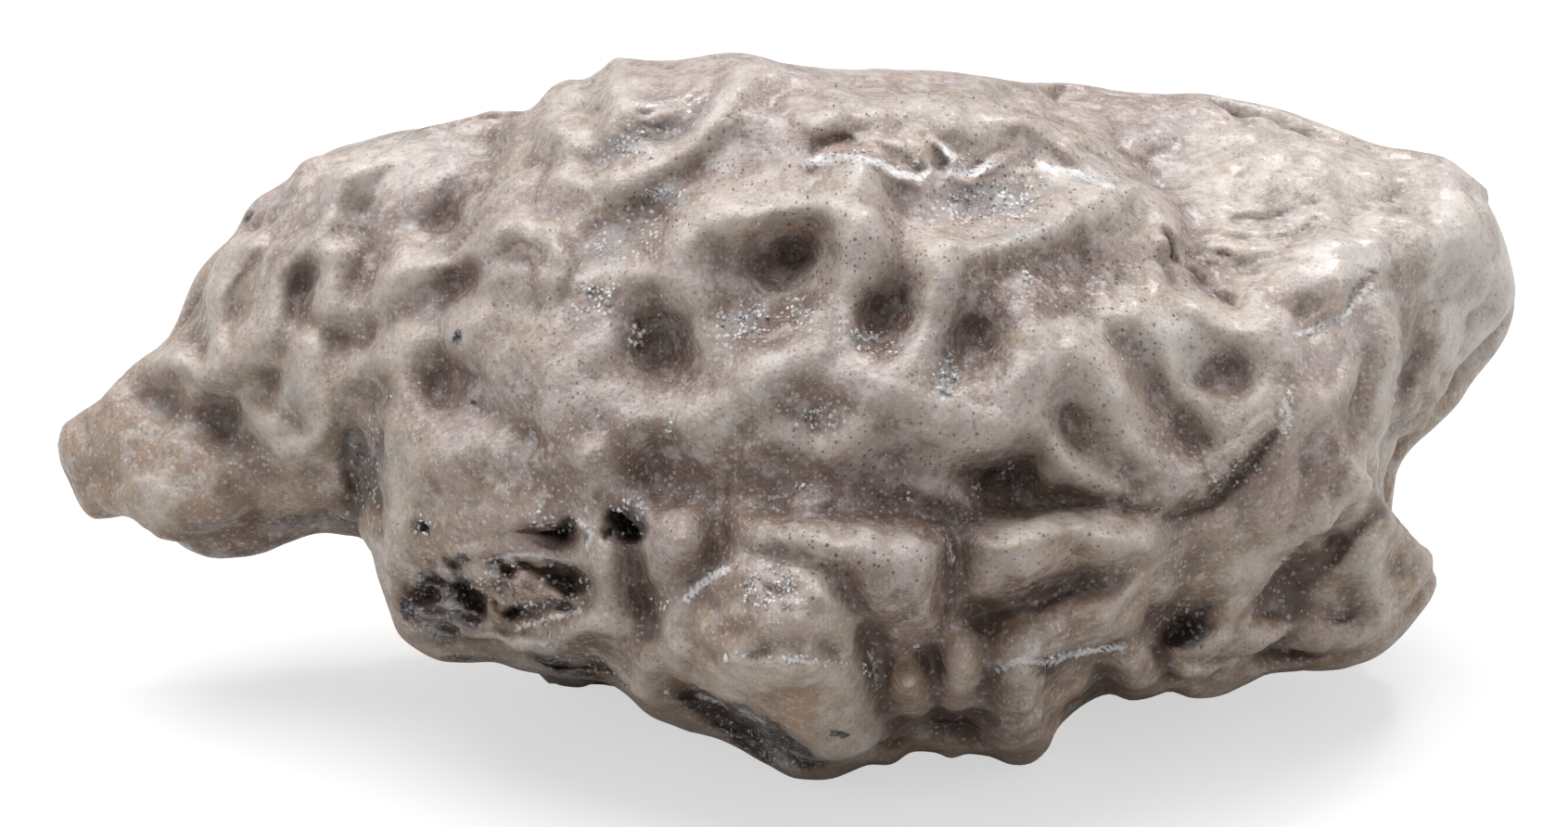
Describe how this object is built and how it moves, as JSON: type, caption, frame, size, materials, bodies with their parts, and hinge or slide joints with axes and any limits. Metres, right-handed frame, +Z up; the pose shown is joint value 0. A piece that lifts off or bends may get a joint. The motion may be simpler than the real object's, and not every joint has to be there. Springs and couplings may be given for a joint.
{
  "type": "crinoid fossil",
  "caption": "Elongated lump of weathered fossil crinoid calyx, with ridges that join plate centres, deep pits between them, a tapering beak end and rounded feet to lie on.",
  "frame": {"origin": "centre of the footprint, on the surface the fossil lies on", "axes": "+X from the beak end to the blunt end, +Y from the ornamented face to the back, +Z up"},
  "size_m": [0.0396, 0.0254, 0.0199],
  "materials": {
    "stone": "weathered, slightly waxy brown-grey stone with darker pits"
  },
  "bodies": {
    "root": {"fossil": "stone"}
  },
  "joints": []
}
